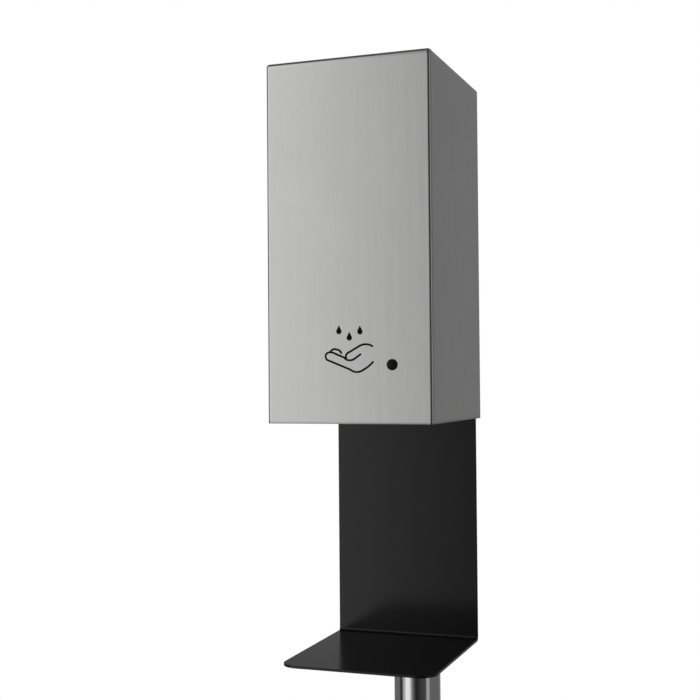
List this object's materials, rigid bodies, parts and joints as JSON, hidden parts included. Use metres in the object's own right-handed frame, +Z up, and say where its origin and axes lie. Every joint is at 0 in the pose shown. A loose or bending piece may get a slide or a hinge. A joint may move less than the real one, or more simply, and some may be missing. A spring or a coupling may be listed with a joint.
{
  "type": "hand sanitizer floor stand",
  "caption": "Free-standing touchless hand sanitizer dispenser: a brushed steel box with a folded black back plate and drip tray on a round post and square base plate.",
  "frame": {"origin": "on the floor under the axis of the post, at the middle of the base plate", "axes": "+Z up, -Y towards the person in front of the dispenser, +X to the right seen from the front"},
  "size_m": [0.37, 0.37, 1.302],
  "materials": {
    "brushed_stainless": "vertically brushed stainless steel",
    "black_powder_coat": "semi-gloss black powder coat",
    "black_rubber": "matt rubber",
    "plain_steel": "bare steel",
    "zinc_steel": "bright zinc plating",
    "sheet_steel": "plain cold-rolled sheet",
    "black_plastic": "fine-textured moulded plastic",
    "grey_plastic": "moulded plastic",
    "white_plastic": "moulded plastic",
    "milky_plastic": "milky blown plastic",
    "smoked_plastic": "smoked plastic",
    "silicone": "soft silicone",
    "motor_can": "drawn steel can",
    "battery_wrap": "plain wrapped cells",
    "board_green": "solder mask",
    "component_black": "moulded components",
    "lens_black": "dark infrared window",
    "clear_resin": "clear resin",
    "switch_red": "moulded plastic",
    "nickel": "nickel plating",
    "black_ink": "screen print"
  },
  "bodies": {
    "stand": {"base_plate": "black_powder_coat", "drip_tray_bracket": "black_powder_coat", "rubber_feet": "black_rubber", "post": "brushed_stainless", "post_plug": "plain_steel", "post_screw": "zinc_steel", "post_cap": "black_plastic", "saddle_spacers": "black_plastic", "rivet_nuts": "zinc_steel", "bracket_screws": "zinc_steel", "chassis": "sheet_steel", "chassis_screws": "zinc_steel", "chassis_nuts": "zinc_steel", "bottle_deck": "grey_plastic", "deck_screws": "zinc_steel", "refill_bottle": "milky_plastic", "valve_cap": "white_plastic", "dosing_tube": "silicone", "nozzle": "white_plastic", "pump_case": "grey_plastic", "pump_lid": "smoked_plastic", "pump_lid_screws": "zinc_steel", "gear_motor": "motor_can", "motor_screws": "zinc_steel", "pump_bracket": "sheet_steel", "shelf_screws": "zinc_steel", "battery_tray": "black_plastic", "battery_door": "black_plastic", "battery_cells": "battery_wrap", "battery_contacts": "plain_steel", "control_board": "board_green", "board_standoffs": "white_plastic", "control_board_screws": "zinc_steel", "board_components": "component_black", "sensor_lens": "lens_black", "sensor_board": "board_green", "sensor_standoffs": "white_plastic", "infrared_pair": "lens_black", "indicator_board": "board_green", "status_light": "clear_resin", "small_board_screws": "zinc_steel", "switch_body": "black_plastic", "lock_housing": "nickel", "lock_nut": "nickel"},
    "cover": {"cover": "brushed_stainless", "hinge_pins": "plain_steel", "indicator_lens": "lens_black", "printed_symbol": "black_ink", "lock_catch": "brushed_stainless"},
    "lock": {"lock_plug": "nickel", "lock_cam": "zinc_steel", "lock_cam_screw": "zinc_steel"},
    "rotor": {"pump_rotor": "white_plastic", "roller_pins": "plain_steel", "motor_shaft": "plain_steel"},
    "roller_1": {"pump_roller_1": "white_plastic"},
    "roller_2": {"pump_roller_2": "white_plastic"},
    "roller_3": {"pump_roller_3": "white_plastic"},
    "rocker": {"switch_rocker": "switch_red"}
  },
  "joints": [
    {"name": "cover_hinge", "type": "hinge", "parent": "stand", "child": "cover", "pos_m": [0, -0.038, 1.293], "axis": [-1, 0, 0], "range_deg": [0, 90]},
    {"name": "lock_turn", "type": "hinge", "parent": "stand", "child": "lock", "pos_m": [-0.04, -0.148, 1.012], "axis": [0, 0, 1], "range_deg": [0, 90]},
    {"name": "pump_turn", "type": "hinge", "parent": "stand", "child": "rotor", "pos_m": [-0.012, -0.098, 1.058], "axis": [0, 1, 0], "continuous": true},
    {"name": "roller_1_spin", "type": "hinge", "parent": "rotor", "child": "roller_1", "pos_m": [-0.012, -0.098, 1.067], "axis": [0, 1, 0], "continuous": true},
    {"name": "roller_2_spin", "type": "hinge", "parent": "rotor", "child": "roller_2", "pos_m": [-0.01979, -0.098, 1.0535], "axis": [0, 1, 0], "continuous": true},
    {"name": "roller_3_spin", "type": "hinge", "parent": "rotor", "child": "roller_3", "pos_m": [-0.00421, -0.098, 1.0535], "axis": [0, 1, 0], "continuous": true},
    {"name": "rocker_tilt", "type": "hinge", "parent": "stand", "child": "rocker", "pos_m": [-0.03, -0.1472, 1.095], "axis": [1, 0, 0], "range_deg": [0, 16]}
  ],
  "couplings": [
    {"joint": "roller_1_spin", "follows": "pump_turn", "ratio": -3.25},
    {"joint": "roller_2_spin", "follows": "pump_turn", "ratio": -3.25},
    {"joint": "roller_3_spin", "follows": "pump_turn", "ratio": -3.25}
  ]
}
